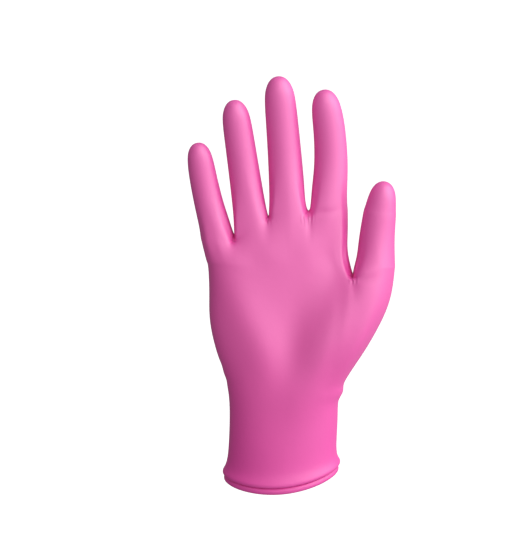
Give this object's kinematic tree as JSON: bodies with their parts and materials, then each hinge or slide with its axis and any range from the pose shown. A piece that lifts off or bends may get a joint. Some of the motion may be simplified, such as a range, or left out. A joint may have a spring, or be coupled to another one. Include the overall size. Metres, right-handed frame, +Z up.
{
  "type": "nitrile exam glove",
  "caption": "Thin nitrile exam glove in its worn right-hand form, hollow from the fingertips to an open cuff whose edge is rolled into a bead.",
  "frame": {"origin": "middle of the cuff's open mouth, at the bead, where the wrist goes in", "axes": "+Z up along the hand to the fingertips, -Y out of the palm, +X towards the thumb"},
  "size_m": [0.1185, 0.0532, 0.2397],
  "materials": {
    "nitrile": "satin"
  },
  "bodies": {
    "root": {"glove": "nitrile"}
  },
  "joints": []
}
